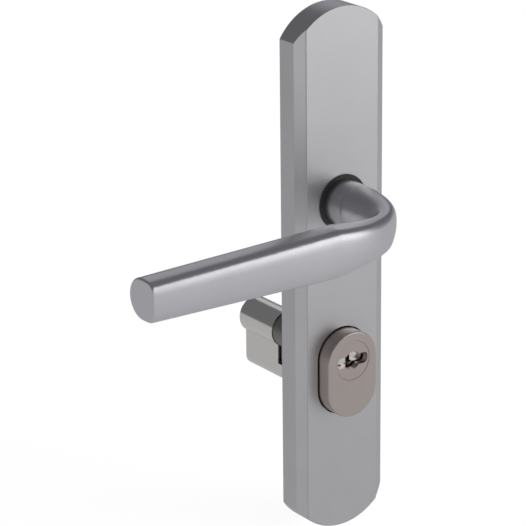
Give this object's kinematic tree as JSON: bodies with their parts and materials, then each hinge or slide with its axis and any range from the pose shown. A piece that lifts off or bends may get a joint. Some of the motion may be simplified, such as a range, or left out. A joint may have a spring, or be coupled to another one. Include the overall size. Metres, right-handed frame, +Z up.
{
  "type": "security door lever plate with euro cylinder",
  "caption": "Outside long plate of a security door with an L-shaped lever, an oval cylinder guard with a turning disc, and a euro profile double cylinder behind it.",
  "frame": {"origin": "the lever's axis on the door face, which is the plate's back plane", "axes": "+Z up along the plate, -Y out of the door towards the user, +Y into the door, +X to the user's right; the grip points along -X"},
  "size_m": [0.16, 0.1221, 0.2418],
  "materials": {
    "plate_aluminium": "fine satin, natural anodised",
    "lever_aluminium": "fine satin, natural anodised",
    "hardened_steel": "blued, satin",
    "gasket_foam": "matt closed-cell foam",
    "plated_steel": "bright zinc plate",
    "black_plastic": "matt moulded acetal",
    "spring_steel": "drawn, oiled",
    "satin_nickel": "brushed satin nickel, warm grey",
    "nickel_brass": "satin nickel plate over brass",
    "sintered_steel": "sintered, dull",
    "raw_brass": "turned, uncoated"
  },
  "bodies": {
    "plate": {"cover_plate": "plate_aluminium", "armour_plate": "hardened_steel", "backing_gasket": "gasket_foam", "fixing_posts": "plated_steel", "cover_screws": "plated_steel", "lever_bush": "black_plastic", "spring_carrier": "plated_steel", "carrier_rivets": "plated_steel", "return_spring": "spring_steel", "guard_housing": "satin_nickel", "guard_screws": "plated_steel", "guard_liner": "hardened_steel", "disc_spring_washer": "spring_steel", "cylinder_body": "nickel_brass", "chamber_caps": "raw_brass", "drill_pins": "hardened_steel", "outer_pin_springs": "spring_steel", "inner_pin_springs": "spring_steel"},
    "lever": {"lever_handle": "lever_aluminium", "lever_driver": "plated_steel", "thrust_washer": "plated_steel", "lever_clip": "spring_steel", "spindle": "plated_steel", "spindle_grub_screw": "hardened_steel"},
    "disc": {"guard_disc": "satin_nickel"},
    "outer_plug_body": {"outer_plug": "nickel_brass", "outer_plug_clip": "spring_steel", "outer_key_pins": "raw_brass"},
    "inner_plug_body": {"inner_plug": "nickel_brass", "inner_plug_clip": "spring_steel", "inner_key_pins": "raw_brass"},
    "cam_body": {"cam": "sintered_steel", "clutch": "sintered_steel"},
    "outer_drivers": {"outer_driver_pins": "raw_brass"},
    "inner_drivers": {"inner_driver_pins": "raw_brass"}
  },
  "joints": [
    {"name": "lever_turn", "type": "hinge", "parent": "plate", "child": "lever", "pos_m": [0, 0, 0], "axis": [0, -1, 0], "range_deg": [0, 40], "stiffness_Nm_per_rad": 0.8, "springref_deg": -34.38, "deforming": ["return_spring"]},
    {"name": "outer_plug_turn", "type": "hinge", "parent": "plate", "child": "outer_plug_body", "pos_m": [0, 0, -0.072], "axis": [0, -1, 0], "continuous": true},
    {"name": "cam_turn", "type": "hinge", "parent": "plate", "child": "cam_body", "pos_m": [0, 0.024, -0.072], "axis": [0, -1, 0], "continuous": true},
    {"name": "inner_plug_turn", "type": "hinge", "parent": "plate", "child": "inner_plug_body", "pos_m": [0, 0.054, -0.072], "axis": [0, -1, 0], "continuous": true},
    {"name": "disc_turn", "type": "hinge", "parent": "plate", "child": "disc", "pos_m": [0, -0.02, -0.072], "axis": [0, -1, 0], "continuous": true},
    {"name": "outer_drivers_press", "type": "slide", "parent": "plate", "child": "outer_drivers", "axis": [0, 0, -1], "range_m": [0, 0.0022], "stiffness_N_per_m": 60, "springref_m": -0.004, "deforming": ["outer_pin_springs"]},
    {"name": "inner_drivers_press", "type": "slide", "parent": "plate", "child": "inner_drivers", "axis": [0, 0, -1], "range_m": [0, 0.0022], "stiffness_N_per_m": 60, "springref_m": -0.004, "deforming": ["inner_pin_springs"]}
  ],
  "couplings": [
    {"joint": "cam_turn", "follows": "outer_plug_turn", "ratio": 1}
  ]
}
